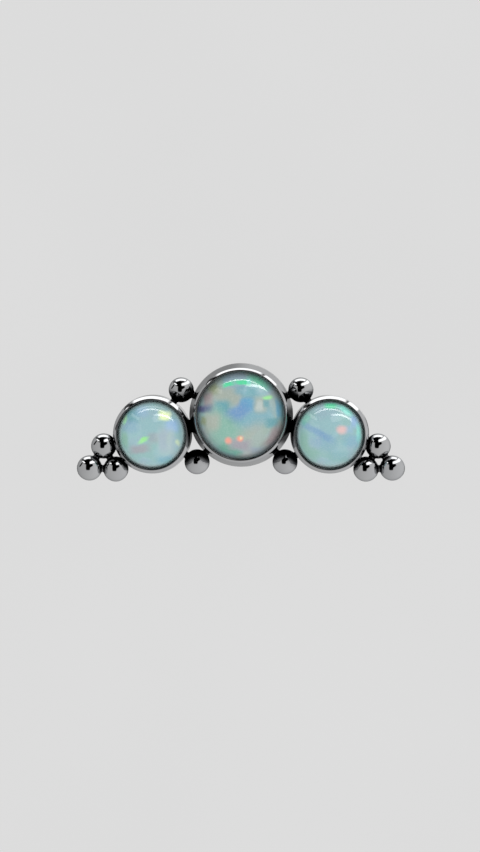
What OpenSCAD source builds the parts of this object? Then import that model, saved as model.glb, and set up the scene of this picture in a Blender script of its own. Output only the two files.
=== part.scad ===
// Labret stud: a flat-back post that carries a soldered cluster of three
// bezel-set opals and ten round beads.
// The stud stands on its disc back, with the face of the cluster upwards.
// Seen from the front, +X is to the right and +Y is the top of the cluster.
// The origin is the middle of the disc's underside.

/* [Post] */
// Diameter of the shaft, 16 gauge
shaft_d = 1.2; // [1.0:0.1:1.4]
// Length of the shaft between the disc and the cluster
shaft_len = 6; // [5.6:0.2:10]
// Diameter of the flat disc back
disc_d = 4; // [3.5:0.5:5]
// Thickness of the disc back
disc_t = 0.8; // [0.7:0.1:1.2]
// Rounding of the disc's rim on the skin side
skin_rim_r = 0.3; // [0.1:0.05:0.35]
// Rounding of the disc's rim on the outside
back_rim_r = 0.12; // [0.08:0.02:0.2]
// Depth of the socket in the top of the shaft
socket_depth = 5; // [4.7:0.1:5.2]

/* [Pin] */
// Diameter of the pin on the back of the cluster
pin_d = 0.5; // [0.4:0.05:0.6]
// Length of the pin
pin_len = 4.5; // [3:0.25:4.5]

/* [Centre cup] */
// Diameter of the centre cup at its foot
centre_cup_d = 5.08; // [5.04:0.01:5.1]
// Diameter of the centre cup at the shoulder below its lip
centre_shoulder_d = 4.62; // [4.58:0.01:4.66]
// Diameter of the crest of the centre cup's lip
centre_lip_d = 4.38; // [4.36:0.01:4.4]
// Diameter of the lip's inner edge, where it holds the centre stone
centre_edge_d = 4.14; // [4.1:0.01:4.16]
// Height of the centre cup
centre_cup_h = 2.25; // [2.22:0.01:2.4]

/* [Side cups] */
// Diameter of a side cup at its foot
side_cup_d = 3.86; // [3.84:0.01:3.88]
// Diameter of a side cup at the shoulder below its lip
side_shoulder_d = 3.76; // [3.74:0.01:3.78]
// Diameter of the crest of a side cup's lip
side_lip_d = 3.4; // [3.38:0.01:3.42]
// Diameter of the lip's inner edge, where it holds a side stone
side_edge_d = 3.22; // [3.18:0.01:3.24]
// Height of a side cup
side_cup_h = 2.05; // [2.02:0.01:2.2]
// Distance of a side cup from the middle line
side_x = 4.33; // [4.33:0.01:4.35]
// Distance of a side cup below the centre cup
side_drop = 0.94; // [0.91:0.01:0.94]

/* [Opals] */
// Diameter of the centre opal at its girdle
centre_stone_d = 4.4; // [4.36:0.01:4.44]
// Radius of the centre opal's dome
centre_dome_r = 2.7; // [2.6:0.05:2.8]
// Diameter of a side opal at its girdle
side_stone_d = 3.44; // [3.42:0.01:3.45]
// Radius of a side opal's dome
side_dome_r = 1.8; // [1.78:0.01:1.82]
// Height of the centre opal's straight girdle
centre_girdle_h = 0.9; // [0.86:0.01:0.92]
// Height of a side opal's straight girdle
side_girdle_h = 0.73; // [0.7:0.01:0.75]

/* [Beads] */
// Diameter of a bead
bead_d = 1.23; // [1.21:0.01:1.24]
// How far the trios of beads stand above the accents
trio_rise = 0.72; // [0.6:0.04:0.76]
// Diameter of a solder joint
joint_d = 0.34; // [0.3:0.02:0.4]
// Width of the solder between the centre cup and a side cup
seam_w = 0.8; // [0.7:0.05:0.9]
// Height of that solder
seam_h = 1.05; // [0.9:0.05:1.2]

/* [Fits] */
// Gap between an opal and its cup
stone_gap = 0.02; // [0.01:0.005:0.03]
// Gap between the pin and its socket
pin_gap = 0.03; // [0.02:0.01:0.05]
// Gap between the cluster's back and the end of the shaft
seat_gap = 0.02; // [0.01:0.01:0.05]

/* [Hidden] */
// Thickness of a cup's floor
cup_floor = 0.78;
// Rounding of the crest of a lip
crest_r = 0.05;
// Slope of a lip's outer face, down from level
lip_slope = 48;
// Small bevel on the lower edge of a cup
foot_bevel = 0.06;
// Bevel at the tip of the pin and at the mouth of the socket
tip_bevel = 0.08;
// Where the slopes inside and outside a lip run into its round crest, from
// the crest's middle, as shares of the crest's radius
bite_in = 0.9;
bite_up = 0.15;
bite_out = 0.95;
// Fineness of the round shapes
$fa = 3;
$fs = 0.05;
// Margin by which a cutter runs past what it cuts
past = 0.2;

base_z = disc_t + shaft_len + seat_gap;
bead_z = base_z + bead_d / 2;
trio_z = bead_z + trio_rise;
stone_z = base_z + cup_floor + stone_gap;

// Columns of the bead table
AWAY = 0;
UP = 1;
// Where the beads of one half lie, from the middle of the centre cup: how
// far away from the middle line, and how far up
UPPER_ACCENT = [2.92, 1.23];
LOWER_ACCENT = [2.15, -2.28];
TRIO_TOP = [6.68, -1.50];
TRIO_INNER = [6.09, -2.62];
TRIO_OUTER = [7.375, -2.57];
ACCENTS = [UPPER_ACCENT, LOWER_ACCENT];
TRIO = [TRIO_TOP, TRIO_INNER, TRIO_OUTER];
CENTRE_CUP = [0, 0];
SIDE_CUP = [side_x, -side_drop];

// Distance from a bead's middle at which its joints begin, inside the bead
joint_root = 0.76 * bead_d / 2;
// Radii on which a joint ends, half way through a cup's wall
centre_wall_r = wall_middle(centre_stone_d, centre_cup_d, centre_shoulder_d);
side_wall_r = wall_middle(side_stone_d, side_cup_d, side_shoulder_d);

METAL = [0.72, 0.73, 0.75];
OPAL = [0.66, 0.78, 0.78];

// How deep the middle of a dome of radius dome_r lies below a circle of
// radius r on that dome
function dome_sink(dome_r, r) = sqrt(dome_r * dome_r - r * r);

// Radius of the middle of a cup's wall, between its stone and its outside
function wall_middle(stone_d, foot_d, shoulder_d) =
    (stone_d / 2 + stone_gap + (foot_d + shoulder_d) / 4) / 2;

// A point on the way from one place to another, at a distance from its end
function short_of(from, to, distance) =
    to + distance * (from - to) / norm(from - to);

// The space of a domed stone that lies on z = 0, grown by a gap all round
module cabochon(girdle_r, girdle_h, dome_r, gap) {
    dome_z = girdle_h - dome_sink(dome_r, girdle_r);
    intersection() {
        translate([0, 0, -gap])
            cylinder(r = girdle_r + gap, h = dome_r * 2);
        translate([0, 0, dome_z])
            sphere(r = dome_r + gap);
    }
}

// The half section of a cup's metal, with no room for its stone yet
module cup_section(foot_r, shoulder_r, lip_r, edge_r, edge_z, height) {
    crest_z = height - crest_r;
    brow_x = lip_r + bite_out * crest_r * sin(lip_slope);
    brow_z = crest_z + bite_out * crest_r * cos(lip_slope);
    polygon([
        [0, 0],
        [foot_r - foot_bevel, 0],
        [foot_r, foot_bevel],
        [shoulder_r, brow_z - (shoulder_r - brow_x) * tan(lip_slope)],
        [brow_x, brow_z],
        [lip_r - bite_in * crest_r, crest_z + bite_up * crest_r],
        [edge_r, edge_z],
        [0, edge_z]
    ]);
    translate([lip_r, crest_z])
        circle(r = crest_r);
}

// One bezel cup, standing on z = 0, with its pocket cut for the stone
module cup(foot_r, shoulder_r, lip_r, edge_r, height, girdle_r, girdle_h,
           dome_r) {
    seat_z = cup_floor + stone_gap;
    dome_z = seat_z + girdle_h - dome_sink(dome_r, girdle_r);
    edge_z = dome_z + dome_sink(dome_r + stone_gap, edge_r);
    difference() {
        rotate_extrude()
            cup_section(foot_r, shoulder_r, lip_r, edge_r, edge_z, height);
        translate([0, 0, seat_z])
            cabochon(girdle_r, girdle_h, dome_r, stone_gap);
    }
}

module centre_cup() {
    cup(centre_cup_d / 2, centre_shoulder_d / 2, centre_lip_d / 2,
        centre_edge_d / 2, centre_cup_h, centre_stone_d / 2, centre_girdle_h,
        centre_dome_r);
}

module side_cup() {
    cup(side_cup_d / 2, side_shoulder_d / 2, side_lip_d / 2, side_edge_d / 2,
        side_cup_h, side_stone_d / 2, side_girdle_h, side_dome_r);
}

// One bead, turned so that its seam faces down the cluster, where no joint
// meets it
module bead(place, z) {
    translate([place[AWAY], place[UP], z])
        rotate([0, 0, -90])
            sphere(d = bead_d);
}

// A round, level solder joint between two places
module joint(from, to, z) {
    way = to - from;
    translate([from[AWAY], from[UP], z])
        rotate([0, 90, atan2(way[UP], way[AWAY])])
            cylinder(d = joint_d, h = norm(way));
}

// A joint from one bead of the trio to the next
module bead_joint(place, next) {
    joint(short_of(next, place, joint_root),
          short_of(place, next, joint_root), trio_z);
}

// A joint from a bead to the wall of a cup
module cup_joint(place, cup_place, wall_r, z) {
    joint(short_of(cup_place, place, joint_root),
          short_of(place, cup_place, wall_r), z);
}

// The solder that runs up between the walls of the centre and the side cup
module cup_seam() {
    from = short_of(SIDE_CUP, CENTRE_CUP, centre_wall_r);
    way = short_of(CENTRE_CUP, SIDE_CUP, side_wall_r) - from;
    translate([from[AWAY], from[UP], base_z + foot_bevel])
        rotate([0, 0, atan2(way[UP], way[AWAY])])
            translate([0, -seam_w / 2, 0])
                cube([norm(way), seam_w, seam_h]);
}

// Joints of one half: the cups to each other, the accents to both cups,
// and the trio to its cup and to each other
module half_joints() {
    cup_seam();
    for (place = ACCENTS) {
        cup_joint(place, CENTRE_CUP, centre_wall_r, bead_z);
        cup_joint(place, SIDE_CUP, side_wall_r, bead_z);
    }
    for (place = [TRIO_TOP, TRIO_INNER])
        cup_joint(place, SIDE_CUP, side_wall_r, trio_z);
    bead_joint(TRIO_TOP, TRIO_INNER);
    bead_joint(TRIO_TOP, TRIO_OUTER);
    bead_joint(TRIO_INNER, TRIO_OUTER);
}

// The right half of the cluster, without the centre cup
module half_cluster() {
    translate([SIDE_CUP[AWAY], SIDE_CUP[UP], base_z])
        side_cup();
    for (place = ACCENTS)
        bead(place, bead_z);
    for (place = TRIO)
        bead(place, trio_z);
    half_joints();
}

// The plain pin that holds the cluster in the post
module pin() {
    straight = pin_len - tip_bevel;
    translate([0, 0, base_z - straight])
        cylinder(d = pin_d, h = straight + cup_floor / 2);
    translate([0, 0, base_z - pin_len])
        cylinder(d1 = pin_d - 2 * tip_bevel, d2 = pin_d, h = tip_bevel);
}

module setting() {
    color(METAL)
    union() {
        translate([0, 0, base_z])
            centre_cup();
        half_cluster();
        mirror([1, 0, 0])
            half_cluster();
        pin();
    }
}

module centre_opal() {
    color(OPAL)
    translate([0, 0, stone_z])
        cabochon(centre_stone_d / 2, centre_girdle_h, centre_dome_r, 0);
}

// A side opal, on the side of the middle line that side says
module side_opal(side) {
    color(OPAL)
    translate([side * SIDE_CUP[AWAY], SIDE_CUP[UP], stone_z])
        cabochon(side_stone_d / 2, side_girdle_h, side_dome_r, 0);
}

module left_opal() {
    side_opal(-1);
}

module right_opal() {
    side_opal(1);
}

// The half section of the disc back, with its two rounded rims
module disc_section() {
    disc_r = disc_d / 2;
    square([disc_r - skin_rim_r, disc_t]);
    square([disc_r - back_rim_r, disc_t / 2]);
    translate([0, back_rim_r])
        square([disc_r, disc_t - skin_rim_r - back_rim_r]);
    translate([disc_r - skin_rim_r, disc_t - skin_rim_r])
        circle(r = skin_rim_r);
    translate([disc_r - back_rim_r, back_rim_r])
        circle(r = back_rim_r);
}

module post() {
    socket_r = pin_d / 2 + pin_gap;
    top_z = disc_t + shaft_len;
    color(METAL)
    difference() {
        union() {
            rotate_extrude()
                disc_section();
            translate([0, 0, disc_t / 2])
                cylinder(d = shaft_d, h = top_z - disc_t / 2);
        }
        translate([0, 0, top_z - socket_depth])
            cylinder(r = socket_r, h = socket_depth + past);
        translate([0, 0, top_z - tip_bevel])
            cylinder(r1 = socket_r, r2 = socket_r + tip_bevel, h = tip_bevel);
    }
}

setting();
centre_opal();
left_opal();
right_opal();
post();
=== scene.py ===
"""Finished looks of a labret stud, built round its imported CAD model.

The stud stands on its disc back, with the face of the cluster upwards. Sizes
in the classes are in millimetres, in the frame of the CAD model: +X to the
right, +Y to the top of the cluster and +Z towards its face.
"""
import logging
from collections.abc import Callable
from dataclasses import dataclass, field
from enum import Enum
from math import acos, asin, atan, atan2, cos, degrees, pi, radians, sin, sqrt, tan

import bpy
from mathutils import Euler, Matrix, Vector


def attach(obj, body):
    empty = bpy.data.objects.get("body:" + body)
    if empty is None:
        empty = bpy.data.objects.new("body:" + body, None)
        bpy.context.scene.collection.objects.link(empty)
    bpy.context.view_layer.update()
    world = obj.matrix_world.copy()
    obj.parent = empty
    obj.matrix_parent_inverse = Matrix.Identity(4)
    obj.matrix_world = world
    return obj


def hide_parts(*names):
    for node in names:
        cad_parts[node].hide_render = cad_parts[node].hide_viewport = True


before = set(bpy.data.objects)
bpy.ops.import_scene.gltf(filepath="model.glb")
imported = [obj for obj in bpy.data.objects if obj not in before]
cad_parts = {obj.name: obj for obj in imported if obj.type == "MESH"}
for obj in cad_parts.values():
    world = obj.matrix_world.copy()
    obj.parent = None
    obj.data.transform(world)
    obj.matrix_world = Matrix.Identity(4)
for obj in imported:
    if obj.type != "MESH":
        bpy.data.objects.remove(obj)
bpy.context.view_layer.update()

log = logging.getLogger("labret_stud")

MM = 0.001
NEAR = 1e-6
HANDS = (-1, 1)
ORIGIN = (0.0, 0.0, 0.0)

Place = tuple[float, float]
Spot = tuple[float, float, float]
Outline = list[Place]
Colour = tuple[float, float, float]
Light = tuple[float, float, float, float]
Socket = bpy.types.NodeSocket
Piece = bpy.types.Object


# Small helpers for shapes and colours

def linear(shade: Colour) -> Light:
    """Turns a screen colour of 0 to 255 into the light values that a node takes.

    Args:
        shade: Red, green and blue as seen on a screen.

    Returns:
        Red, green, blue and alpha as light values.
    """
    values = []
    for channel in shade:
        share = channel / 255
        values.append(share / 12.92 if share <= 0.04045 else ((share + 0.055) / 1.055) ** 2.4)
    return (values[0], values[1], values[2], 1.0)


def grey(level: float) -> Light:
    """Gives the light values of an even grey."""
    return (level, level, level, 1.0)


def arc(centre: Place, radius: float, start: float, end: float, steps: int) -> Outline:
    """Gives the points of an arc in a half section.

    Args:
        centre: The arc's middle, as distance from the axis and height.
        radius: The arc's radius.
        start: The angle of the first point, in degrees from straight outwards.
        end: The angle of the last point.
        steps: How many pieces the arc is cut into.

    Returns:
        The points from start to end.
    """
    points = []
    for step in range(steps + 1):
        angle = radians(start + (end - start) * step / steps)
        points.append((centre[0] + radius * cos(angle), centre[1] + radius * sin(angle)))
    return points


def facing(across: Vector, up: Vector, back: Vector) -> Euler:
    """Gives the turn that lays a thing's own X, Y and Z along three directions."""
    return Matrix((across, up, back)).transposed().to_euler()


class Bench:
    """The bench on which pieces are picked up, copied, soldered and smoothed."""

    @staticmethod
    def clear() -> None:
        """Leaves edit mode and deselects everything."""
        if bpy.context.object and bpy.context.object.mode != "OBJECT":
            bpy.ops.object.mode_set(mode="OBJECT")
        bpy.ops.object.select_all(action="DESELECT")

    @staticmethod
    def take(piece: Piece) -> None:
        """Selects a piece and nothing else, and makes it active.

        Args:
            piece: The piece.
        """
        Bench.clear()
        piece.select_set(True)
        bpy.context.view_layer.objects.active = piece

    @staticmethod
    def settle(piece: Piece) -> None:
        """Puts a piece's place, turn and scale into its mesh."""
        Bench.take(piece)
        bpy.ops.object.transform_apply(location=True, rotation=True, scale=True)

    @staticmethod
    def pick(piece: Piece, kind: str, test: Callable[[bpy.types.bpy_struct], bool]) -> None:
        """Selects the vertices or faces of a piece that pass a test.

        Args:
            piece: The piece, in edit mode before and after.
            kind: What is selected, VERT or FACE.
            test: Tells whether a vertex or a face is one of them.
        """
        bpy.ops.mesh.select_mode(type=kind)
        bpy.ops.mesh.select_all(action="DESELECT")
        bpy.ops.object.mode_set(mode="OBJECT")
        for part in piece.data.vertices if kind == "VERT" else piece.data.polygons:
            part.select = test(part)
        bpy.ops.object.mode_set(mode="EDIT")

    @staticmethod
    def lay(model: Piece, spots: list[tuple[Spot, float]]) -> list[Piece]:
        """Lays copies of a model, each with a mesh of its own, and discards the model.

        Args:
            model: The model, with its middle at the origin.
            spots: Each copy's place, and its turn about the upright axis in radians.

        Returns:
            The copies.
        """
        copies = []
        for (across, up, level), turn in spots:
            copy = model.copy()
            copy.data = model.data.copy()
            bpy.context.scene.collection.objects.link(copy)
            copy.rotation_euler = (0, 0, turn)
            copy.location = (across * MM, up * MM, level * MM)
            Bench.settle(copy)
            copies.append(copy)
        Bench.discard([model])
        return copies

    @staticmethod
    def discard(pieces: list[Piece]) -> None:
        """Throws away pieces that have been copied or have gone into another one.

        Args:
            pieces: The pieces.
        """
        for piece in pieces:
            mesh = piece.data
            bpy.data.objects.remove(piece)
            bpy.data.meshes.remove(mesh)

    @staticmethod
    def solder(base: Piece, parts: list[Piece]) -> None:
        """Joins parts to a base into one closed solid.

        Args:
            base: The piece that stays.
            parts: The pieces that go into it.
        """
        heap = bpy.data.collections.new("solder_heap")
        bpy.context.scene.collection.children.link(heap)
        for part in parts:
            heap.objects.link(part)
        Bench.take(base)
        union = base.modifiers.new("solder", "BOOLEAN")
        union.operation = "UNION"
        union.operand_type = "COLLECTION"
        union.collection = heap
        union.solver = "MANIFOLD"
        bpy.ops.object.modifier_apply(modifier=union.name)
        bpy.data.collections.remove(heap)
        Bench.discard(parts)

    @staticmethod
    def smooth(piece: Piece, crease: float) -> None:
        """Shades a piece smooth, apart from edges sharper than crease degrees."""
        Bench.take(piece)
        bpy.ops.object.shade_smooth_by_angle(angle=radians(crease))


@dataclass
class Lathe:
    """Turns round pieces ring by ring about an upright axis."""

    axis: Place = (0.0, 0.0)
    base: float = 0.0
    segments: int = 192

    def turn(self, name: str, outline: Outline) -> Piece:
        """Turns a closed piece from its half section.

        Args:
            name: The piece's name.
            outline: Distance from the axis and height above the base of each
                ring, from the pole below to the last point, both on the axis.

        Returns:
            The piece, with its place in its mesh.
        """
        rings = outline[1:-1]
        radius, height = rings[0]
        Bench.clear()
        bpy.ops.mesh.primitive_circle_add(
            vertices=self.segments,
            radius=radius * MM,
            location=(self.axis[0] * MM, self.axis[1] * MM, (self.base + height) * MM),
        )
        piece = bpy.context.object
        piece.name = name
        Bench.settle(piece)
        bpy.ops.object.mode_set(mode="EDIT")
        bpy.ops.mesh.select_mode(type="VERT")
        bpy.ops.mesh.select_all(action="SELECT")
        for next_radius, next_height in rings[1:]:
            self._raise_ring(next_radius / radius, next_height - height)
            radius, height = next_radius, next_height
        self._close(outline[-1][1] - height)
        radius, height = rings[0]
        first = Vector((*self.axis, self.base + height)) * MM
        Bench.pick(piece, "VERT", lambda corner: abs(corner.co.z - first.z) < NEAR
                   and abs((corner.co - first).xy.length - radius * MM) < NEAR)
        self._close(outline[0][1] - height)
        bpy.ops.mesh.select_all(action="SELECT")
        bpy.ops.mesh.normals_make_consistent(inside=False)
        bpy.ops.object.mode_set(mode="OBJECT")
        return piece

    def _raise_ring(self, scale: float, rise: float) -> None:
        """Extrudes the selected ring and scales it about the axis.

        Args:
            scale: How much wider the new ring is.
            rise: How much higher it lies.
        """
        bpy.ops.mesh.extrude_region_move(TRANSFORM_OT_translate={"value": (0, 0, rise * MM)})
        if abs(scale - 1) > NEAR:
            middle = (self.axis[0] * MM, self.axis[1] * MM, 0)
            bpy.ops.transform.resize(value=(scale, scale, 1), center_override=middle)

    def _close(self, rise: float) -> None:
        """Closes the selected ring with a pole on the axis, rise above it."""
        bpy.ops.mesh.extrude_region_move(TRANSFORM_OT_translate={"value": (0, 0, rise * MM)})
        bpy.ops.mesh.merge(type="CENTER")


# Finishes

class Graph:
    """A node tree that is wired up line by line."""

    def __init__(self, tree: bpy.types.NodeTree) -> None:
        """Empties the tree and starts with nothing in it."""
        self.tree = tree
        tree.nodes.clear()

    def add(self, kind: str, sockets: dict | None = None, **settings: object) -> bpy.types.Node:
        """Adds a node.

        Args:
            kind: The node's type.
            sockets: What goes into its sockets, by their names or numbers.
            settings: Its settings by name.

        Returns:
            The node.
        """
        node = self.tree.nodes.new(kind)
        for name, value in settings.items():
            setattr(node, name, value)
        for name, value in (sockets or {}).items():
            self.feed(node.inputs[name], value)
        return node

    def feed(self, target: Socket, value: object) -> None:
        """Wires a socket into another one, or sets a plain value on it.

        Args:
            target: The socket that takes the value.
            value: A socket, a plain value, or nothing to leave it as it is.
        """
        if isinstance(value, bpy.types.NodeSocket):
            self.tree.links.new(value, target)
        elif value is not None:
            target.default_value = value

    def show(self, shader: bpy.types.Node, output: str = "ShaderNodeOutputMaterial") -> None:
        """Wires a shader to the tree's output."""
        self.add(output, {"Surface": shader.outputs[0]})

    def math(self, operation: str, first: object, second: object = None) -> Socket:
        """Calculates with one or two numbers or sockets."""
        return self.add("ShaderNodeMath", {0: first, 1: second}, operation=operation).outputs[0]

    def vector(self, operation: str, first: object, second: object = None) -> Socket:
        """Calculates with one or two vectors, and gives a number where the operation does."""
        node = self.add("ShaderNodeVectorMath", {0: first, 1: second}, operation=operation)
        return node.outputs[1 if operation in ("LENGTH", "DISTANCE", "DOT_PRODUCT") else 0]

    def flat(self, vector: Socket) -> Socket:
        """Takes the height out of a place."""
        return self.vector("MULTIPLY", vector, (1, 1, 0))

    def split(self, vector: Socket) -> list[Socket]:
        """Gives the three parts of a place or a colour."""
        return list(self.add("ShaderNodeSeparateXYZ", {0: vector}).outputs)

    def fade(self, value: Socket, start: float, end: float, low: float = 0.0, high: float = 1.0) -> Socket:
        """Maps a value softly from start and end to low and high."""
        sockets = {"Value": value, "From Min": start, "From Max": end, "To Min": low, "To Max": high}
        return self.add("ShaderNodeMapRange", sockets, interpolation_type="SMOOTHSTEP").outputs["Result"]

    def blend(self, share: object, first: object, second: object) -> Socket:
        """Mixes two colours, with share for how much of the second one shows."""
        return self.add("ShaderNodeMix", {0: share, 6: first, 7: second}, data_type="RGBA").outputs[2]

    def level(self, share: object, first: object, second: object) -> Socket:
        """Mixes two numbers, with share for how much of the second one counts."""
        return self.add("ShaderNodeMix", {0: share, 2: first, 3: second}, data_type="FLOAT").outputs[0]

    def place(self, vector: Socket, at: Spot, turn: float = 0.0, size: Spot = (1, 1, 1)) -> Socket:
        """Gives a place as seen from a patch that lies at a place, turned and sized."""
        sockets = {"Vector": vector, "Location": at, "Rotation": (0, 0, radians(turn)), "Scale": size}
        return self.add("ShaderNodeMapping", sockets, vector_type="TEXTURE").outputs[0]

    def noise(self, vector: Socket, scale: float, detail: float = 2.0, roughness: float = 0.5) -> Socket:
        """Gives the value of a cloudy pattern, from 0 to 1, where scale is its fineness."""
        sockets = {"Vector": vector, "Scale": scale, "Detail": detail, "Roughness": roughness}
        return self.add("ShaderNodeTexNoise", sockets).outputs[0]

    def place_on_piece(self) -> Socket:
        """Gives the place on the piece itself."""
        return self.add("ShaderNodeTexCoord").outputs["Object"]


def start_material(name: str) -> tuple[bpy.types.Material, Graph]:
    """Starts a material.

    Args:
        name: The material's name.

    Returns:
        The material and its empty node tree.
    """
    material = bpy.data.materials.new(name)
    material.use_nodes = True
    return material, Graph(material.node_tree)


@dataclass(frozen=True)
class PolishedTitanium:
    """Mirror-polished titanium with faint marks of the polishing wheel, and painted shade where nearby parts
    close in.
    """

    name: str
    tone: Colour = (182, 183, 184)
    worn_tone: Colour = (176, 177, 179)
    wear_scale: float = 900.0
    wear: Place = (0.35, 0.7)
    rim_tone: Colour = (190, 191, 192)
    # Painted shade: near other parts the colour turns to this dark tone, in crevices, at joints and between
    # parts
    painted_shade_tone: Colour = (38, 38, 40)
    painted_shade_reach: float = 1.2
    painted_shade_band: Place = (0.5, 0.92)
    gloss: float = 0.05
    dull: float = 0.1
    haze_scale: float = 2600.0
    haze: Place = (0.3, 0.75)
    marks: float = 0.02
    mark_depth: float = 0.02
    line_scale: float = 14000.0
    turned_about: tuple[Place, ...] = ((0.0, 0.0),)

    def make(self) -> bpy.types.Material:
        """Makes the material.

        Returns:
            The material.
        """
        material, graph = start_material(self.name)
        here = graph.place_on_piece()
        worn = graph.fade(graph.noise(here, self.wear_scale, 3), *self.wear)
        tone = graph.blend(worn, linear(self.tone), linear(self.worn_tone))
        # Painted shade: ambient occlusion darkens the colour in crevices, at joints and between parts
        around = graph.add("ShaderNodeAmbientOcclusion", {"Distance": self.painted_shade_reach * MM}, samples=8)
        unshaded = graph.fade(around.outputs["AO"], *self.painted_shade_band)
        tone = graph.blend(unshaded, linear(self.painted_shade_tone), tone)
        haze = graph.noise(here, self.haze_scale, 4, 0.6)
        marks = graph.add("ShaderNodeBump", {
            "Strength": self.marks,
            "Distance": self.mark_depth * MM,
            "Height": graph.math("ADD", self._lathe_lines(graph, here), haze),
        })
        shader = graph.add("ShaderNodeBsdfPrincipled", {
            "Base Color": tone,
            "Metallic": 1.0,
            "Specular Tint": linear(self.rim_tone),
            "Roughness": graph.fade(haze, *self.haze, self.gloss, self.dull),
            "Normal": marks.outputs[0],
        })
        graph.show(shader)
        return material

    def _lathe_lines(self, graph: Graph, here: Socket) -> Socket:
        """Gives fine lines that run round the nearest turning axis.

        Args:
            graph: The node tree.
            here: The place on the piece.

        Returns:
            The lines' height.
        """
        away = None
        for across, up in self.turned_about:
            distance = graph.vector("DISTANCE", graph.flat(here), (across * MM, up * MM, 0))
            away = distance if away is None else graph.math("MINIMUM", away, distance)
        joined = graph.add("ShaderNodeCombineXYZ", {0: away, 1: graph.split(here)[2]})
        return graph.noise(joined.outputs[0], self.line_scale, 2)


class Hue(Enum):
    """The colours that play in the opals, as seen in soft light."""

    AQUA = (155, 195, 200)
    SEAFOAM = (138, 186, 170)
    TEAL = (104, 166, 176)
    BLUE = (110, 175, 206)
    PERIWINKLE = (118, 158, 204)
    VIOLET = (94, 94, 144)
    MAUVE = (166, 163, 172)
    LILAC = (162, 177, 200)
    SAND = (172, 182, 170)
    OLIVE = (150, 160, 122)
    LAGOON = (128, 178, 192)
    PEARL = (198, 210, 208)
    ROSE = (166, 146, 150)
    SKY = (156, 194, 230)
    FERN = (88, 168, 136)
    SPRING = (92, 232, 172)
    CYAN = (150, 240, 226)
    LIME = (164, 240, 158)
    LEMON = (236, 254, 190)
    CORAL = (255, 166, 146)
    BLUSH = (232, 196, 194)


@dataclass(frozen=True)
class Flash:
    """One patch of colour in an opal, measured in the stone's radius."""

    hue: Hue
    at: Place
    size: Place
    turn: float = 0.0
    strength: float = 1.0
    soft: float = 0.6
    drop: bool = False


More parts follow.
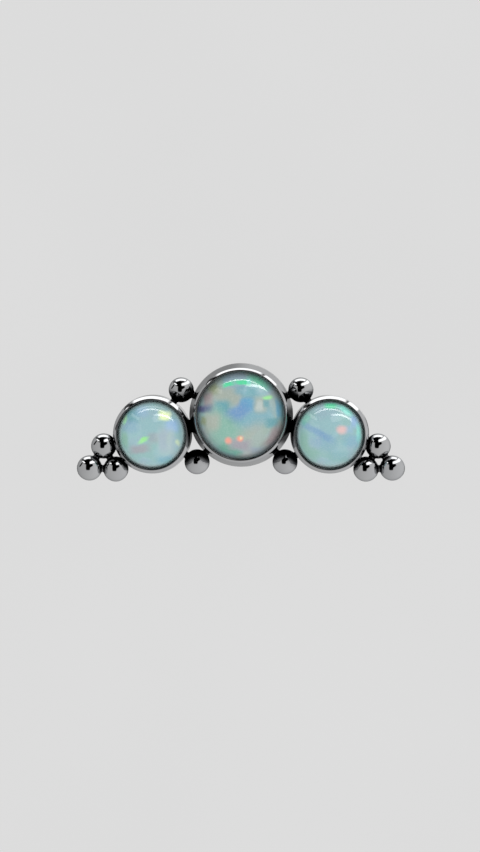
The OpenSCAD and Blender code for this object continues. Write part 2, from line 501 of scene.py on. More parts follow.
@dataclass(frozen=True)
class Opal:
    """White opal: a mosaic of soft colours with a few strong flashes under a clear polish, and painted light
    towards its rim.
    """

    name: str
    middle: Place
    radius: float
    body: tuple[Hue, ...]
    flashes: tuple[Flash, ...]
    contrast: float = 0.6
    cell: float = 2.4
    cell_band: Place = (0.35, 0.75)
    drift: float = 0.12
    drift_scale: float = 3.0
    grain: float = 0.12
    grain_scale: float = 26.0
    grain_band: Place = (0.4, 0.75)
    grain_tone: Colour = (236, 244, 240)
    # Painted light towards the stone's rim, moved up by glow_shift so that the bottom gets more
    glow: float = 0.5
    glow_rim: Place = (0.86, 1.04)
    glow_shift: float = 0.05
    glow_gain: float = 2.2
    glow_top: float = 0.92

    def make(self) -> bpy.types.Material:
        """Makes the material.

        Returns:
            The material.
        """
        material, graph = start_material(self.name)
        middle = (self.middle[0] * MM, self.middle[1] * MM, 0)
        stone = graph.place(graph.place_on_piece(), middle, size=(self.radius * MM,) * 3)
        wander = graph.add("ShaderNodeTexNoise", {"Vector": stone, "Scale": self.drift_scale, "Detail": 1.0})
        shift = graph.vector("SUBTRACT", wander.outputs["Color"], (0.5, 0.5, 0.5))
        shifted = graph.vector("ADD", stone, graph.vector("MULTIPLY", shift, (self.drift,) * 3))
        colour = self._mosaic(graph, shifted)
        spot = graph.flat(shifted)
        for flash in self.flashes:
            colour = self._flash(graph, spot, colour, flash)
        grain = graph.fade(graph.noise(stone, self.grain_scale, 3, 0.6), *self.grain_band, 0.0, self.grain)
        colour = graph.blend(grain, colour, linear(self.grain_tone))
        shader = graph.add("ShaderNodeBsdfPrincipled", {
            "Base Color": self._painted_rim_light(graph, stone, colour),
            "Roughness": 0.35,
            "Specular IOR Level": 0.1,
            "Coat Weight": 1.0,
            "Coat Roughness": 0.03,
            "Coat IOR": 1.5,
        })
        graph.show(shader)
        return material

    def _mosaic(self, graph: Graph, place: Socket) -> Socket:
        """Gives the quiet mosaic of the opal's body.

        Args:
            graph: The node tree.
            place: The place in the stone, in radii.

        Returns:
            The mosaic's colour.
        """
        sockets = {"Vector": place, "Scale": self.cell, "Smoothness": 0.8}
        cells = graph.add("ShaderNodeTexVoronoi", sockets, feature="SMOOTH_F1", distance="CHEBYCHEV")
        colour = linear(self.body[0].value)
        for channel, hue in zip(graph.split(cells.outputs["Color"]), self.body[1:]):
            share = graph.fade(channel, *self.cell_band, 0.0, self.contrast)
            colour = graph.blend(share, colour, linear(hue.value))
        return colour

    def _flash(self, graph: Graph, place: Socket, colour: Socket, flash: Flash) -> Socket:
        """Lays one patch over the colours below it.

        Args:
            graph: The node tree.
            place: The place in the stone, in radii, without its height.
            colour: The colours below.
            flash: The patch.

        Returns:
            The colour with the patch on it.
        """
        local = graph.place(place, (*flash.at, 0), flash.turn, (*flash.size, 1))
        boxy = graph.math("SQRT", graph.vector("LENGTH", graph.vector("MULTIPLY", local, local)))
        away = graph.vector("LENGTH", local) if flash.drop else boxy
        share = graph.fade(away, 1 + flash.soft, 1 - flash.soft, 0.0, flash.strength)
        return graph.blend(share, colour, linear(flash.hue.value))

    def _painted_rim_light(self, graph: Graph, stone: Socket, colour: Socket) -> Socket:
        """Paints light into the stone's colour towards its rim, more at the bottom than at the top, where
        the lip shades the stone and light comes through its sides.

        Args:
            graph: The node tree.
            stone: The place in the stone, in radii.
            colour: The stone's colour.

        Returns:
            The colour with painted light at its rim.
        """
        away = graph.vector("LENGTH", graph.vector("SUBTRACT", graph.flat(stone), (0, self.glow_shift, 0)))
        glow = graph.fade(away, *self.glow_rim, 0.0, self.glow)
        bright = graph.vector("MULTIPLY", colour, (self.glow_gain,) * 3)
        return graph.blend(glow, colour, graph.vector("MINIMUM", bright, (self.glow_top,) * 3))


# The soldered setting

class Area(Enum):
    """The setting's areas, by the number of their finish."""

    BAND = 0
    BEAD = 1
    SOLDER = 2
    LIP = 3


@dataclass
class Cup:
    """One bezel cup: a conical band, a sloping lip with a narrow crest, and the stone's pocket."""

    name: str
    middle: Place
    foot_r: float
    shoulder_r: float
    lip_r: float
    edge_r: float
    height: float
    stone_r: float
    girdle: float
    dome_r: float
    face_r: float
    play_r: float
    crest_r: float = 0.05
    brow: float = 48.0
    tuck: float = 163.0
    shoulder_round: float = 0.04
    band_rings: tuple[float, ...] = (0.35, 0.65, 1.0, 1.4)
    floor: float = 0.78
    foot_bevel: float = 0.06
    gap: float = 0.02
    # How far outside the crest the painted shade of the inner lip reaches
    shaded_lip_reach: float = 0.03

    @property
    def dome_z(self) -> float:
        """Height of the middle of the stone's dome above the cup's foot."""
        return self.floor + self.gap + self.girdle - sqrt(self.dome_r ** 2 - self.stone_r ** 2)

    @property
    def crest(self) -> Place:
        """The middle of the round crest in the half section."""
        return (self.lip_r, self.height - self.crest_r)

    @property
    def face(self) -> tuple[Place, float]:
        """The lip's crowned outer face.

        Returns:
            The face's middle and its last angle from upright.
        """
        reach = self.face_r - self.crest_r
        across = self.crest[0] - reach * sin(radians(self.brow))
        up = self.crest[1] - reach * cos(radians(self.brow))
        return (across, up), degrees(asin((self.shoulder_r - across) / self.face_r))

    @property
    def shoulder_z(self) -> float:
        """Height of the shoulder above the cup's foot."""
        middle, last = self.face
        return middle[1] + self.face_r * cos(radians(last))

    def wall_radius(self, height: float) -> float:
        """Gives the outer radius of the band at a height above the foot."""
        share = (height - self.foot_bevel) / (self.shoulder_z - self.foot_bevel)
        return self.foot_r + (self.shoulder_r - self.foot_r) * share

    def build(self, base: float) -> Piece:
        """Turns the cup.

        Args:
            base: Height of the cup's foot.

        Returns:
            The cup.
        """
        face_middle, last = self.face
        slack = self.shoulder_round
        bend = (self.shoulder_r - slack * sin(radians(last)),
                self.shoulder_z - slack * cos(radians(last)))
        cone = degrees(atan((self.foot_r - self.shoulder_r) / self.shoulder_z))
        dome = self.dome_r + self.gap
        pocket_r = self.stone_r + self.gap
        edge_angle = degrees(acos(self.edge_r / dome))
        pocket_angle = degrees(acos(pocket_r / dome))
        outline = [(0, 0)]
        outline += arc((self.foot_r - self.foot_bevel, self.foot_bevel), self.foot_bevel, -90, 0, 4)
        outline += [(self.wall_radius(height), height) for height in self.band_rings]
        outline += arc(bend, slack, cone, 90 - last, 6)[:-1]
        outline += arc(face_middle, self.face_r, 90 - last, 90 - self.brow, 6)[:-1]
        outline += arc(self.crest, self.crest_r, 90 - self.brow, self.tuck, 14)
        outline += arc((0, self.dome_z), dome, edge_angle, pocket_angle, 4)
        outline += [(pocket_r, self.floor), (0, self.floor)]
        return Lathe(self.middle, base).turn(self.name, outline)


@dataclass
class Setting:
    """The soldered titanium setting: three cups, ten beads, solder and pin."""

    base: float = 6.82
    bead_r: float = 0.615
    trio_rise: float = 0.72
    waist: float = 0.17
    fillet: float = 0.05
    solder_reach: float = 0.12
    seam: Spot = (0.29, 0.8, 1.05)
    seam_at: Spot = (2.463, -0.535, 0.585)
    seam_waist: float = 0.8
    pin_r: float = 0.25
    pin_len: float = 4.5
    pin_root: float = 0.19
    tip_bevel: float = 0.08
    side: Place = (4.33, -0.94)
    accents: tuple[Place, ...] = ((2.92, 1.23), (2.15, -2.28))
    trio: tuple[Place, ...] = ((6.68, -1.50), (6.09, -2.62), (7.375, -2.57))
    finishes: list[bpy.types.Material] = field(default_factory=list)

    def centre_cup(self) -> Cup:
        """Gives the sizes of the centre cup."""
        return Cup("centre_cup", (0.0, 0.0), foot_r=2.54, shoulder_r=2.31, lip_r=2.175, edge_r=2.13,
                   height=2.25, stone_r=2.2, girdle=0.9, dome_r=2.7, face_r=0.62, play_r=2.07)

    def side_cup(self, hand: int) -> Cup:
        """Gives the sizes of a side cup.

        Args:
            hand: Left (-1) or right (1).

        Returns:
            The cup.
        """
        place = (hand * self.side[0], self.side[1])
        return Cup("side_cup", place, foot_r=1.93, shoulder_r=1.88, lip_r=1.705, edge_r=1.668,
                   height=2.05, stone_r=1.72, girdle=0.73, dome_r=1.8, face_r=0.92, play_r=1.61)

    def build(self) -> Piece:
        """Builds the setting as one solid.

        Returns:
            The setting.
        """
        cups = (self.centre_cup(), self.side_cup(-1), self.side_cup(1))
        setting, *side_cups = [cup.build(self.base) for cup in cups]
        setting.name = "soldered_setting"
        beads = self._beads()
        solder = self._joints() + self._seams() + [self._pin()]
        areas = ((Area.BAND, [setting, *side_cups]), (Area.BEAD, beads), (Area.SOLDER, solder))
        for area, pieces in areas:
            for piece in pieces:
                for finish in self.finishes:
                    piece.data.materials.append(finish)
                self._mark(piece, area, lambda face: True)
        # The inside of each cup, from its crest inwards, gets a much darker finish: painted shade for the
        # dark ring between lip and stone
        for piece, cup in zip((setting, *side_cups), cups):
            axis = Vector(cup.middle) * MM
            floor = (self.base + cup.floor / 2) * MM
            reach = (cup.lip_r + cup.shaded_lip_reach) * MM
            self._mark(piece, Area.LIP,
                       lambda face: (face.center.xy - axis).length < reach and face.center.z > floor)
        Bench.solder(setting, [*side_cups, *beads, *solder])
        Bench.smooth(setting, 25)
        return setting

    @staticmethod
    def _mark(piece: Piece, area: Area, test: Callable[[bpy.types.MeshPolygon], bool]) -> None:
        """Gives the faces of a piece that pass a test the finish of an area.

        Args:
            piece: The piece, which holds all the setting's finishes.
            area: The area that the faces belong to.
            test: Tells whether a face is one of them.
        """
        Bench.take(piece)
        piece.active_material_index = area.value
        bpy.ops.object.mode_set(mode="EDIT")
        Bench.pick(piece, "FACE", test)
        bpy.ops.object.material_slot_assign()
        bpy.ops.object.mode_set(mode="OBJECT")

    @property
    def levels(self) -> Place:
        """Heights of the accents' and of the trios' middles."""
        return (self.base + self.bead_r, self.base + self.bead_r + self.trio_rise)

    def _beads(self) -> list[Piece]:
        """Rounds one bead and copies it to the ten places.

        Returns:
            The beads.
        """
        Bench.clear()
        bpy.ops.mesh.primitive_ico_sphere_add(subdivisions=5, radius=self.bead_r * MM)
        bpy.context.object.name = "bead"
        groups = zip(self.levels, (self.accents, self.trio))
        places = [(across, up, level) for level, group in groups for across, up in group]
        spots = [((hand * across, up, level), 0.0) for across, up, level in places for hand in HANDS]
        return Bench.lay(bpy.context.object, spots)

    def _spool(self) -> Piece:
        """Turns one solder joint, a bar that flares towards both its ends.

        Returns:
            The joint, lying along X with its middle at the origin.
        """
        half = arc((self.waist + self.fillet, 0), self.fillet, 180, 225, 5)
        neck_r, neck_z = half[-1]
        half.append((neck_r + self.solder_reach + neck_z, -self.solder_reach))
        below = [(0, -self.solder_reach)] + half[::-1]
        above = [(radius, -height) for radius, height in below[::-1][1:]]
        spool = Lathe(segments=48).turn("solder_joint", below + above)
        spool.rotation_euler = (0, radians(90), 0)
        Bench.settle(spool)
        return spool

    def _joints(self) -> list[Piece]:
        """Lays a solder joint between each two round forms that meet, on both sides.

        Returns:
            The joints.
        """
        low, high = self.levels
        centre, side = self.centre_cup(), self.side_cup(1)
        hub = (centre.middle, centre.wall_radius(low - self.base))
        cup = (side.middle, side.wall_radius(low - self.base))
        upper, lower = [(place, self.bead_r) for place in self.accents]
        top, inner, outer = [(place, self.bead_r) for place in self.trio]
        level_pairs = ((low, (hub, upper), (hub, lower), (cup, upper), (cup, lower)),
                       (high, (cup, top), (cup, inner), (top, inner), (top, outer), (inner, outer)))
        spots = []
        for level, *pairs in level_pairs:
            for (first, first_r), (second, second_r) in pairs:
                start, end = Vector(first), Vector(second)
                way = (end - start).normalized()
                middle = (start + way * first_r + end - way * second_r) / 2
                for hand in HANDS:
                    spots.append(((hand * middle.x, middle.y, level), atan2(way.y, hand * way.x)))
        return Bench.lay(self._spool(), spots)

    def _seams(self) -> list[Piece]:
        """Shapes the solder that runs up between the centre cup and each side cup.

        Returns:
            The two seams.
        """
        Bench.clear()
        bpy.ops.mesh.primitive_cube_add(size=MM)
        model = bpy.context.object
        model.name = "solder_seam"
        model.scale = self.seam
        Bench.settle(model)
        bpy.ops.object.mode_set(mode="EDIT")
        bpy.ops.mesh.select_all(action="SELECT")
        bpy.ops.mesh.subdivide(number_cuts=5)
        for reach in (0.0, 1 / 3, 2 / 3):
            away = reach * self.seam[0] / 2 * MM
            Bench.pick(model, "VERT", lambda corner: abs(abs(corner.co.x) - away) < NEAR)
            share = 1 - (1 - self.seam_waist) * (1 - reach ** 2)
            bpy.ops.transform.resize(value=(1, share, 1), center_override=ORIGIN)
        bpy.ops.object.mode_set(mode="OBJECT")
        across, up, rise = self.seam_at
        spots = [((hand * across, up, self.base + rise), atan2(up, hand * across)) for hand in HANDS]
        return Bench.lay(model, spots)

    def _pin(self) -> Piece:
        """Turns the plain pin on the back.

        Returns:
            The pin.
        """
        tip = -self.pin_len
        outline = [(0, tip), (self.pin_r - self.tip_bevel, tip), (self.pin_r, tip + self.tip_bevel)]
        outline += [(self.pin_r, self.pin_root), (0, self.pin_root)]
        return Lathe(base=self.base, segments=48).turn("pin", outline)


@dataclass
class Cabochon:
    """One domed opal that lies in its cup."""

    name: str
    cup: Cup
    girdle_bevel: float = 0.03
    last_ring: float = 89.2

    def build(self, base: float) -> Piece:
        """Turns the stone.

        Args:
            base: Height of the cup's foot.

        Returns:
            The stone.
        """
        cup = self.cup
        bevel = self.girdle_bevel
        seat = cup.floor + cup.gap
        girdle_angle = degrees(acos(cup.stone_r / cup.dome_r))
        outline = [(0, seat), (cup.stone_r - bevel, seat)]
        outline += arc((cup.stone_r - bevel, seat + bevel), bevel, -60, 0, 3)
        outline += arc((0, cup.dome_z), cup.dome_r, girdle_angle, self.last_ring, 48)
        outline += [(0, cup.dome_z + cup.dome_r)]
        stone = Lathe(cup.middle, base).turn(self.name, outline)
        Bench.smooth(stone, 40)
        return stone


@dataclass
class Post:
    """The flat-back post: shaft and disc in one piece, with the pin's socket."""

    disc_r: float = 2.0
    disc_t: float = 0.8
    skin_rim: float = 0.3
    back_rim: float = 0.12
    shaft_r: float = 0.6
    shaft_top: float = 6.8
    shaft_rings: Place = (2.8, 4.8)
    end_round: float = 0.04
    neck: float = 0.08
    socket_r: float = 0.28
    socket_depth: float = 5.0
    mouth_bevel: float = 0.08

    def build(self) -> Piece:
        """Turns the post.

        Returns:
            The post.
        """
        top = self.shaft_top
        outline = [(0, 0)]
        outline += arc((self.disc_r - self.back_rim, self.back_rim), self.back_rim, -90, 0, 8)
        outline += arc((self.disc_r - self.skin_rim, self.disc_t - self.skin_rim), self.skin_rim, 0, 90, 14)
        outline += arc((self.shaft_r + self.neck, self.disc_t + self.neck), self.neck, 270, 180, 6)
        outline += [(self.shaft_r, height) for height in self.shaft_rings]
        outline += arc((self.shaft_r - self.end_round, top - self.end_round), self.end_round, 0, 90, 4)
        outline += [(self.socket_r + self.mouth_bevel, top), (self.socket_r, top - self.mouth_bevel)]
        outline += [(self.socket_r, top - self.socket_depth), (0, top - self.socket_depth)]
        post = Lathe(segments=128).turn("flat_back_post", outline)
        Bench.smooth(post, 30)
        return post


# The studio

@dataclass(frozen=True)
class Panel:
    """A light or dark thing round the stud, by where a small mirror ball shows it."""

    at: Place
    size: Place
    turn: float
    light: float
    soft: float = 0.25


@dataclass(frozen=True)
class Rim:
    """A strip of light or shade, an arc as a small mirror ball shows it."""

    middle: Place
    radius: float
    start: float
    end: float
    light: float
    width: float
    core: float = 0.8

    def at(self, share: float) -> Vector:
        """Gives the direction to a place on the strip.

        Args:
            share: How far along the strip, from 0 to 1.

        Returns:
            The direction, of length one.
        """
        angle = radians(self.start + (self.end - self.start) * share)
        across = self.middle[0] + self.radius * cos(angle)
        up = self.middle[1] + self.radius * sin(angle)
        tilt = Vector((across, up, sqrt(1 - across ** 2 - up ** 2)))
        return (2 * tilt.z * tilt - Vector((0, 0, 1))).normalized()


@dataclass
class Studio:
    """Pale floor, soft light all round, and what the metal and the stones mirror."""

    floor_shade: Colour = (222, 223, 224)
    floor_size: float = 1.6
    floor_drop: float = 0.02
    floor_cloud: float = 40.0
    floor_glow: Place = (0.84, 0.86)
    floor_matt: float = 0.17
    even_light: float = 1.25
    paint: float = 0.8
    surround: float = 0.775
    lean: float = 0.19
    side_light: float = 0.15
    side_aim: float = 16.0
    side_reach: Place = (0.885, 0.95)
    side_low: Place = (0.94, 0.985)
    panels: tuple[Panel, ...] = (
        Panel((-0.1, 0.1), (0.175, 0.27), 0, 0.0),
        Panel((0.1, 0.2), (0.2, 0.13), 32, 0.0),
        Panel((-0.2, 0.47), (0.24, 0.2), -10, 0.0),
        Panel((-0.26, 0.6), (0.3, 0.11), 10, 0.0),
        Panel((-0.66, 0.26), (0.21, 0.05), 56, 0.0),
        Panel((0.14, 0.65), (0.3, 0.08), 14, 0.0),
        Panel((0.35, 0.52), (0.33, 0.1), 21, 2.3),
        Panel((-0.57, 0.6), (0.07, 0.09), 0, 0.1),
        Panel((-0.45, 0.47), (0.13, 0.04), -33, 2.3),
        Panel((0.52, 0.62), (0.13, 0.13), 45, 2.3),
    )
    strip: Rim = Rim((0.0, -0.05), 0.87, 62, 123, 2.4, 0.095)
    low_strips: tuple[Rim, ...] = (
        Rim((0.0, 0.0), 1.0, 8, 100, 1.1, 0.04, 0.5),
        Rim((0.0, 0.0), 1.0, 95, 165, 0.6, 0.04, 0.6),
    )
    centre_tubes: tuple[Rim, ...] = (
        Rim((0.0, -0.04), 0.682, 60, 120, 9.0, 0.016),
        Rim((0.16, -0.12), 0.66, 46, 98, 10.0, 0.026),
    )
    side_tubes: tuple[Rim, ...] = (
        Rim((0.0, 0.0), 0.69, 58, 126, 8.0, 0.024),
        Rim((0.16, -0.12), 0.66, 46, 101, 9.0, 0.03),
    )
    tube_pieces: int = 16
    tube_distance: float = 300.0
    tube_aim: Spot = (0.0, -0.5, 9.0)

    def light(self) -> None:
        """Paints the light round the stud."""
        world = bpy.data.worlds.new("studio")
        bpy.context.scene.world = world
        world.use_nodes = True
        world.cycles.sampling_method = "NONE"
        graph = Graph(world.node_tree)
        mirrored = self._mirrored(graph)
        path = graph.add("ShaderNodeLightPath").outputs
        first = graph.math("LESS_THAN", path["Diffuse Depth"], 0.5)
        share = graph.math("MULTIPLY", path["Is Glossy Ray"], first)
        backdrop = linear(self.floor_shade)[0] / self.paint
        plain = graph.level(path["Is Camera Ray"], self.even_light, backdrop)
        walls = graph.add("ShaderNodeBackground", {
            "Color": grey(self.paint),
            "Strength": graph.level(share, plain, mirrored),
        })
        graph.show(walls, "ShaderNodeOutputWorld")

    def _mirrored(self, graph: Graph) -> Socket:
        """Paints what the polished metal mirrors.

        Args:
            graph: The node tree.

        Returns:
            The light that comes from each direction.
        """
        direction = graph.add("ShaderNodeTexCoord").outputs["Generated"]
        half_way = graph.vector("ADD", direction, (0, 0, 1))
        ball = graph.flat(graph.vector("NORMALIZE", half_way))
        light = graph.math("ADD", graph.math("MULTIPLY", graph.split(ball)[0], self.lean), self.surround)
        for panel in self.panels:
            local = graph.place(ball, (*panel.at, 0), panel.turn, (*panel.size, 1))
            away = graph.vector("LENGTH", graph.vector("MULTIPLY", local, local))
            share = graph.fade(away, 1 + panel.soft, 1 - panel.soft)
            light = graph.level(share, light, panel.light)
        light = graph.level(self._arc(graph, ball, self.strip), light, self.strip.light)
        light = graph.level(self._low_sides(graph, ball), light, self.side_light)
        for strip in self.low_strips:
            light = graph.level(self._arc(graph, ball, strip), light, strip.light)
        return light

    def _low_sides(self, graph: Graph, ball: Socket) -> Socket:
        """Gives where steep walls mirror what lies low down on the left and the right.

        Args:
            graph: The node tree.
            ball: The place on the mirror ball.

        Returns:
            The share of the low sides.
        """
        aim = radians(self.side_aim)
        folded = graph.vector("ABSOLUTE", graph.vector("MULTIPLY", ball, (1, 0, 0)))
        across = graph.vector("DOT_PRODUCT", folded, (cos(aim), 0, 0))
        up = graph.vector("DOT_PRODUCT", ball, (0, -sin(aim), 0))
        low = graph.fade(graph.vector("LENGTH", ball), *self.side_low)
        return graph.math("MULTIPLY", low, graph.fade(graph.math("ADD", across, up), *self.side_reach))

    def _arc(self, graph: Graph, ball: Socket, strip: Rim) -> Socket:
        """Gives where a strip of light is mirrored.

        Args:
            graph: The node tree.
            ball: The place on the mirror ball.
            strip: The strip.

        Returns:
            The strip's share.
        """
        local = graph.vector("SUBTRACT", ball, (*strip.middle, 0))
        off = graph.math("ABSOLUTE", graph.math("SUBTRACT", graph.vector("LENGTH", local), strip.radius))
        thin = graph.fade(off, strip.width, strip.width * 0.6)
        middle = radians((strip.start + strip.end) / 2)
        half = radians((strip.end - strip.start) / 2)
        aim = (cos(middle), sin(middle), 0)
        along = graph.vector("DOT_PRODUCT", graph.vector("NORMALIZE", local), aim)
        return graph.math("MULTIPLY", thin, graph.fade(along, cos(half), cos(half * strip.core)))

    def hang_tubes(self, tubes: tuple[Rim, ...], stones: list[Piece]) -> None:
        """Hangs thin tubes of light, piece by piece, for the polish of some stones alone.

        Args:
            tubes: The tubes.
            stones: The stones that they light.
        """
        lit = bpy.data.collections.new("stones_lit_by_tubes")
        for stone in stones:
            lit.objects.link(stone)
        for tube in tubes:
            for step in range(self.tube_pieces):
                self._hang_piece(tube, step, lit)

    def _hang_piece(self, tube: Rim, step: int, lit: bpy.types.Collection) -> None:
        """Hangs one straight piece of a tube, dimmer towards the tube's ends.

        Args:
            tube: The tube.
            step: Which piece it is, counted from the tube's start.
            lit: What the piece lights.
        """
        start = tube.at(step / self.tube_pieces) * self.tube_distance * MM
        end = tube.at((step + 1) / self.tube_pieces) * self.tube_distance * MM
        along = (end - start).normalized()
        away = (start + end).normalized()
        data = bpy.data.lights.new("tube", "AREA")
        data.shape = "RECTANGLE"
        data.size = (end - start).length
        data.size_y = 4 * tube.width * self.tube_distance * MM
        glow = tube.light * sin(pi * (step + 0.5) / self.tube_pieces) ** 0.5
        data.energy = glow * pi * data.size * data.size_y
        piece = bpy.data.objects.new("tube", data)
        bpy.context.scene.collection.objects.link(piece)
        piece.location = Vector(self.tube_aim) * MM + (start + end) / 2
        piece.rotation_euler = facing(along, away.cross(along), away)
        piece.visible_diffuse = False
        piece.light_linking.receiver_collection = lit

    def lay_floor(self) -> None:
        """Lays the pale floor that the stud stands on."""
        Bench.clear()
        bpy.ops.mesh.primitive_plane_add(size=self.floor_size)
        floor = bpy.context.object
        floor.name = "pale_floor"
        floor.location = (0, 0, -self.floor_drop * MM)
        Bench.settle(floor)
        material, graph = start_material("pale_floor")
        cloud = graph.noise(graph.place_on_piece(), self.floor_cloud, 3)
        shade = linear(self.floor_shade)[0]
        dim, bright = self.floor_glow
        glow = graph.fade(cloud, 0.3, 0.7, shade * dim, shade * bright)
        lit = graph.add("ShaderNodeEmission", {"Strength": glow})
        matt = graph.add("ShaderNodeBsdfDiffuse", {"Color": grey(shade * self.floor_matt / self.even_light)})
        graph.show(graph.add("ShaderNodeAddShader", {0: lit.outputs[0], 1: matt.outputs[0]}))
        floor.data.materials.append(material)
        floor.visible_glossy = False


@dataclass
class Camera:
    """The camera that looks down on the face of the cluster, at the photo's angle."""

    lens: float = 200.0
    sensor: float = 36.0
    nearest: float = 0.01
    furthest: float = 20.0
    distance: float = 229.8
    aim: Spot = (-0.031, -0.513, 8.9)
    lean: float = 0.8

    def set_up(self) -> None:
        """Puts the camera in place."""
        data = bpy.data.cameras.new("camera")
        data.lens = self.lens
        data.sensor_width = self.sensor
        data.clip_start = self.nearest
        data.clip_end = self.furthest
        camera = bpy.data.objects.new("camera", data)
        bpy.context.scene.collection.objects.link(camera)
        lean = tan(radians(self.lean))
        back = Vector((lean, lean, 1)).normalized()
        across = Vector((0, 1, 0)).cross(back).normalized()
        camera.location = (Vector(self.aim) + back * self.distance) * MM
        camera.rotation_euler = facing(across, back.cross(across), back)
        bpy.context.scene.camera = camera


# Putting the stud together

CENTRE_FLASHES = (
    Flash(Hue.SAND, (-0.28, 0.44), (0.36, 0.2), 0, 0.9),
    Flash(Hue.OLIVE, (-0.64, 0.6), (0.12, 0.12), 30, 0.8),
    Flash(Hue.ROSE, (-0.78, 0.36), (0.12, 0.16), 0, 0.8),
    Flash(Hue.VIOLET, (-0.86, 0.14), (0.2, 0.09), 5),
    Flash(Hue.TEAL, (-0.44, 0.18), (0.18, 0.16)),
    Flash(Hue.LAGOON, (0.36, -0.02), (0.34, 0.22)),
    Flash(Hue.LAGOON, (0.1, -0.22), (0.24, 0.16), 0, 0.8),
    Flash(Hue.BLUE, (0.17, 0.26), (0.17, 0.15), 0, 1, 0.5),
    Flash(Hue.PERIWINKLE, (-0.08, 0.06), (0.32, 0.16), 34, 0.9),
    Flash(Hue.TEAL, (0.22, 0.56), (0.17, 0.13)),
    Flash(Hue.LAGOON, (0.0, 0.6), (0.15, 0.1), 0, 0.8),
    Flash(Hue.SAND, (0.46, 0.25), (0.14, 0.17), 0, 0.9),
    Flash(Hue.PEARL, (0.44, 0.22), (0.08, 0.1), 0, 0.7),
    Flash(Hue.TEAL, (0.6, 0.27), (0.07, 0.09), 0, 0.8),
    Flash(Hue.SEAFOAM, (-0.38, -0.3), (0.5, 0.28), -40),
    Flash(Hue.SEAFOAM, (-0.5, -0.62), (0.26, 0.16), -40, 0.8),
    Flash(Hue.SAND, (-0.67, -0.16), (0.17, 0.2)),
    Flash(Hue.OLIVE, (-0.86, -0.14), (0.07, 0.08), 0, 0.8),
    Flash(Hue.SAND, (0.36, -0.5), (0.34, 0.3), 30, 0.7),
    Flash(Hue.FERN, (-0.24, -0.82), (0.24, 0.1), -25, 0.6),
    Flash(Hue.PEARL, (0.16, -0.87), (0.1, 0.1), 0, 0.6),
    Flash(Hue.LILAC, (0.37, -0.84), (0.14, 0.08), 0, 0.7),
    Flash(Hue.MAUVE, (0.0, -0.69), (0.24, 0.12), -5),
    Flash(Hue.TEAL, (0.73, -0.18), (0.14, 0.12), 0, 0.9),
    Flash(Hue.ROSE, (0.78, -0.5), (0.3, 0.12), 52, 0.8),
    Flash(Hue.BLUE, (0.92, 0.14), (0.08, 0.2), 0, 0.9),
    Flash(Hue.SPRING, (0.46, 0.78), (0.26, 0.09), -32, 0.5),
    Flash(Hue.SPRING, (-0.28, 0.72), (0.13, 0.05), 18),
    Flash(Hue.SPRING, (0.06, 0.77), (0.16, 0.05), -8),
    Flash(Hue.CYAN, (0.2, 0.78), (0.05, 0.05), 0, 0.8),
    Flash(Hue.LIME, (0.64, 0.41), (0.11, 0.04), 0, 1, 0.7, True),
    Flash(Hue.CORAL, (-0.27, -0.6), (0.065, 0.08), -20, 0.9, 0.7, True),
    Flash(Hue.CORAL, (-0.02, -0.53), (0.075, 0.06), 10, 1, 0.7, True),
    Flash(Hue.LEMON, (0.0, -0.51), (0.03, 0.03), 0, 0.6, 0.7, True),
)
LEFT_FLASHES = (
    Flash(Hue.SKY, (0.62, 0.28), (0.2, 0.18)),
    Flash(Hue.MAUVE, (0.08, -0.09), (0.16, 0.15), 0, 0.5),
    Flash(Hue.PEARL, (0.44, -0.2), (0.22, 0.38), 0, 0.45),
    Flash(Hue.LILAC, (0.36, -0.16), (0.12, 0.3), 0, 0.5),
    Flash(Hue.MAUVE, (-0.34, -0.42), (0.28, 0.12), 10, 0.8),
    Flash(Hue.SEAFOAM, (-0.84, -0.14), (0.12, 0.24)),
    Flash(Hue.TEAL, (-0.58, 0.58), (0.2, 0.18), 0, 0.7),
    Flash(Hue.SKY, (-0.3, 0.7), (0.2, 0.14), 0, 0.4),
    Flash(Hue.PERIWINKLE, (-0.64, 0.26), (0.22, 0.18), 0, 0.3),
    Flash(Hue.BLUE, (0.44, -0.76), (0.24, 0.12), 10, 0.5),
    Flash(Hue.LEMON, (0.79, -0.24), (0.06, 0.08), 0, 0.5, 0.7, True),
    Flash(Hue.LIME, (-0.8, 0.46), (0.06, 0.14), -20, 0.7, 0.7, True),
    Flash(Hue.LIME, (-0.22, -0.16), (0.16, 0.06), 30, 1, 0.7, True),
    Flash(Hue.LEMON, (0.4, 0.58), (0.17, 0.13), -5, 1, 0.5),
)
RIGHT_FLASHES = (
    Flash(Hue.PERIWINKLE, (-0.4, 0.1), (0.5, 0.09), -30, 0.55),
    Flash(Hue.PERIWINKLE, (-0.15, -0.18), (0.36, 0.24), -25, 0.3),
    Flash(Hue.SEAFOAM, (-0.8, -0.2), (0.14, 0.3), 0, 0.8),
    Flash(Hue.SEAFOAM, (-0.6, -0.55), (0.24, 0.18), -30, 0.7),
    Flash(Hue.SKY, (0.76, 0.42), (0.12, 0.18)),
    Flash(Hue.CYAN, (0.88, 0.06), (0.08, 0.26), 0, 0.8),
    Flash(Hue.BLUE, (0.66, -0.18), (0.24, 0.18), 0, 0.4),
    Flash(Hue.TEAL, (0.3, -0.64), (0.3, 0.14), 0, 0.3),
    Flash(Hue.SKY, (0.56, 0.16), (0.12, 0.1), 0, 0.5),
    Flash(Hue.BLUSH, (0.35, 0.16), (0.14, 0.11), 0, 1, 0.7, True),
    Flash(Hue.SPRING, (0.04, 0.88), (0.18, 0.08), 0, 0.9),
    Flash(Hue.SPRING, (-0.74, 0.46), (0.1, 0.18), -35, 0.3),
    Flash(Hue.CYAN, (0.46, 0.76), (0.24, 0.08), -36),
)


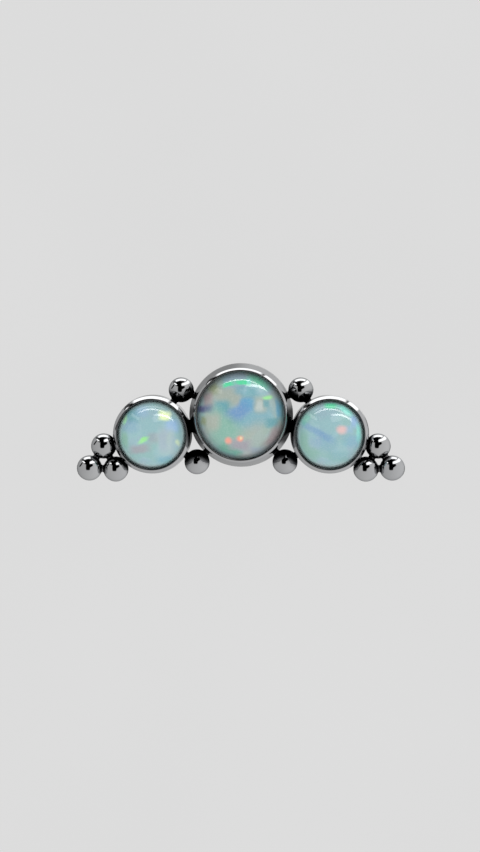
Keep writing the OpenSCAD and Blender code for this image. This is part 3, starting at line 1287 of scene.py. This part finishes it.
@dataclass
class LabretStud:
    """The whole stud."""

    setting: Setting = field(default_factory=Setting)
    post: Post = field(default_factory=Post)
    stones: list[Piece] = field(default_factory=list)

    def finish_metal(self) -> bpy.types.Material:
        """Makes the finishes of the setting's areas and of the post.

        Returns:
            The post's finish.
        """
        across, up = self.setting.side
        axes = ((0.0, 0.0), (across, up), (-across, up))
        bright = {"tone": (204, 205, 206), "worn_tone": (199, 200, 202)}
        finishes = {
            Area.BAND: PolishedTitanium("turned_titanium", painted_shade_band=(0.5, 0.88), turned_about=axes, **bright),
            Area.BEAD: PolishedTitanium("tumbled_titanium", painted_shade_band=(0.44, 0.82), gloss=0.04, dull=0.08,
                                        **bright),
            Area.SOLDER: PolishedTitanium("solder", tone=(170, 170, 172), worn_tone=(150, 150, 153),
                                          dull=0.2),
            # Painted shade: the inner lip is much darker metal than the rest, with darker crevices
            Area.LIP: PolishedTitanium("shaded_inner_lip", tone=(120, 121, 122), worn_tone=(112, 113, 114),
                                       rim_tone=(110, 111, 112), painted_shade_tone=(30, 30, 32),
                                       painted_shade_band=(0.3, 0.95)),
        }
        self.setting.finishes = [finishes[area].make() for area in Area]
        return PolishedTitanium("post_titanium").make()

    def build(self) -> list[Piece]:
        """Builds and dresses every piece.

        Returns:
            The pieces.
        """
        post_finish = self.finish_metal()
        setting = self.setting.build()
        self._hand_in(setting, "setting")
        body = (Hue.AQUA, Hue.SEAFOAM, Hue.LILAC, Hue.SAND)
        pale = (Hue.AQUA, Hue.LILAC, Hue.SEAFOAM, Hue.AQUA)
        # The side stones get a quieter mosaic and more painted light at the rim
        calm = {"contrast": 0.35, "glow": 0.8, "glow_shift": 0.03}
        stones = (
            ("centre_cabochon", "centre_opal", self.setting.centre_cup(), body, CENTRE_FLASHES, {}),
            ("left_cabochon", "left_opal", self.setting.side_cup(-1), pale, LEFT_FLASHES, calm),
            ("right_cabochon", "right_opal", self.setting.side_cup(1), pale, RIGHT_FLASHES, calm),
        )
        for name, node, cup, hues, flashes, changes in stones:
            stone = Cabochon(name, cup).build(self.setting.base)
            finish = Opal(name, cup.middle, cup.play_r, hues, flashes, **changes).make()
            stone.data.materials.append(finish)
            self._hand_in(stone, node)
            self.stones.append(stone)
        post = self.post.build()
        post.data.materials.append(post_finish)
        self._hand_in(post, "post")
        return [setting, *self.stones, post]

    def _hand_in(self, piece: Piece, node: str) -> None:
        """Sets a finished piece on the stud.

        Args:
            piece: The finished piece.
            node: The CAD node that it replaces.
        """
        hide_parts(node)
        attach(piece, "root")


def main() -> None:
    """Builds the studio and the stud."""
    logging.basicConfig(level=logging.INFO, format="%(name)s: %(message)s")
    bpy.context.scene.view_settings.view_transform = "Standard"
    Camera().set_up()
    studio = Studio()
    studio.light()
    studio.lay_floor()
    stud = LabretStud()
    for piece in stud.build():
        log.info("%s: %d faces", piece.name, len(piece.data.polygons))
    studio.hang_tubes(studio.centre_tubes, stud.stones[:1])
    studio.hang_tubes(studio.side_tubes, stud.stones[1:])
    Bench.clear()


if __name__ == "__main__":
    main()
